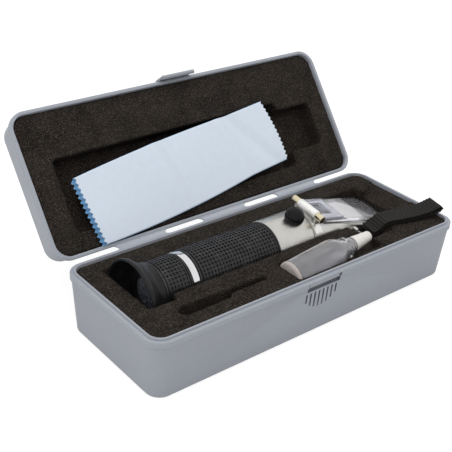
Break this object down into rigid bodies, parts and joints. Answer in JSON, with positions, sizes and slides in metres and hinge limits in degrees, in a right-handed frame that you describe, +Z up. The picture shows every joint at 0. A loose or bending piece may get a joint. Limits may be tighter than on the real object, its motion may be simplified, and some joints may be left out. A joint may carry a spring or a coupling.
{
  "type": "handheld refractometer kit",
  "caption": "Handheld refractometer with eyepiece, grip, prism head and daylight plate, lying in the foam of an open hinged case with its bottle, cloth and strap.",
  "frame": {"origin": "centre of the case's underside, on the surface it stands on", "axes": "+X along the case, from the eyecup to the prism head; +Y from the case's front to its hinge; +Z up"},
  "size_m": [0.205, 0.1408, 0.0996],
  "materials": {
    "case_shell": "satin",
    "hinge_film": "satin",
    "foam": "matt, open cells",
    "cloth": "matt weave",
    "cup_rubber": "satin",
    "grip_rubber": "matt",
    "anodised": "matt black",
    "bright_metal": "polished",
    "satin_metal": "satin",
    "optical_glass": "polished",
    "prism_glass": "polished",
    "brass": "polished",
    "clear_plastic": "polished",
    "frame_plastic": "satin",
    "steel": "satin",
    "cap_rubber": "gloss",
    "webbing": "ribbed weave",
    "bottle_plastic": "frosted",
    "ivory_plastic": "satin"
  },
  "bodies": {
    "case": {"case_base": "case_shell", "base_foam": "foam", "hinge_webs": "hinge_film"},
    "lid": {"case_lid": "case_shell", "lid_foam": "foam"},
    "latch": {"lid_latch": "case_shell"},
    "cloth": {"cleaning_cloth": "cloth"},
    "instrument": {"collar": "bright_metal", "main_tube": "anodised", "rubber_grip": "grip_rubber", "reticle": "optical_glass", "field_stop": "anodised", "objective_lens": "optical_glass", "objective_ring": "anodised", "head_housing": "satin_metal", "prism": "prism_glass", "hinge_bracket": "satin_metal", "hinge_pin": "brass", "strap_lug": "satin_metal", "strap_ring": "steel", "wrist_strap": "webbing"},
    "eyepiece": {"eyecup": "cup_rubber", "eyepiece_grip": "grip_rubber", "eyepiece_barrel": "anodised", "eye_lens": "optical_glass", "eye_lens_ring": "anodised"},
    "plate": {"daylight_plate": "clear_plastic", "plate_hinge": "frame_plastic"},
    "cal_cap": {"calibration_cap": "cap_rubber"},
    "cal_screw": {"calibration_screw": "steel"},
    "bottle": {"bottle_body": "bottle_plastic", "bottle_nozzle": "ivory_plastic"},
    "bottle_top": {"bottle_cap": "ivory_plastic"}
  },
  "joints": [
    {"name": "lid_hinge", "type": "hinge", "parent": "case", "child": "lid", "pos_m": [0, 0.04087, 0.03288], "axis": [-1, 0, 0], "range_deg": [-128.28, 0], "deforming": ["hinge_webs", "wrist_strap", "cleaning_cloth"]},
    {"name": "latch_flex", "type": "hinge", "parent": "lid", "child": "latch", "pos_m": [0.0004, 0.09345, 0.09415], "axis": [-1, 0, 0], "range_deg": [0, 12], "stiffness_Nm_per_rad": 0.6},
    {"name": "cloth_lift", "type": "slide", "parent": "lid", "child": "cloth", "axis": [0, -0.785, 0.6195], "range_m": [0, 0.025]},
    {"name": "refractometer_lift", "type": "slide", "parent": "case", "child": "instrument", "axis": [0, 0, 1], "range_m": [0, 0.06]},
    {"name": "focus_turn", "type": "hinge", "parent": "instrument", "child": "eyepiece", "pos_m": [-0.056, 0.0075, 0.0265], "axis": [1, 0, 0], "range_deg": [-90, 90]},
    {"name": "plate_hinge", "type": "hinge", "parent": "instrument", "child": "plate", "pos_m": [0.0282, 0.00496, 0.04351], "axis": [0, -0.989, -0.1478], "range_deg": [0, 100]},
    {"name": "cal_cap_lift", "type": "slide", "parent": "instrument", "child": "cal_cap", "axis": [0, -0.2419, 0.9703], "range_m": [0, 0.02]},
    {"name": "cal_screw_turn", "type": "hinge", "parent": "instrument", "child": "cal_screw", "pos_m": [0.0169, 0.00387, 0.04105], "axis": [0, -0.2419, 0.9703], "range_deg": [-180, 180]},
    {"name": "bottle_lift", "type": "slide", "parent": "case", "child": "bottle", "axis": [0, 0, 1], "range_m": [0, 0.05]},
    {"name": "bottle_cap_turn", "type": "hinge", "parent": "bottle", "child": "bottle_top", "pos_m": [0.01, -0.0244, 0.0313], "axis": [0.993, 0, 0.1184], "range_deg": [0, 540]}
  ]
}
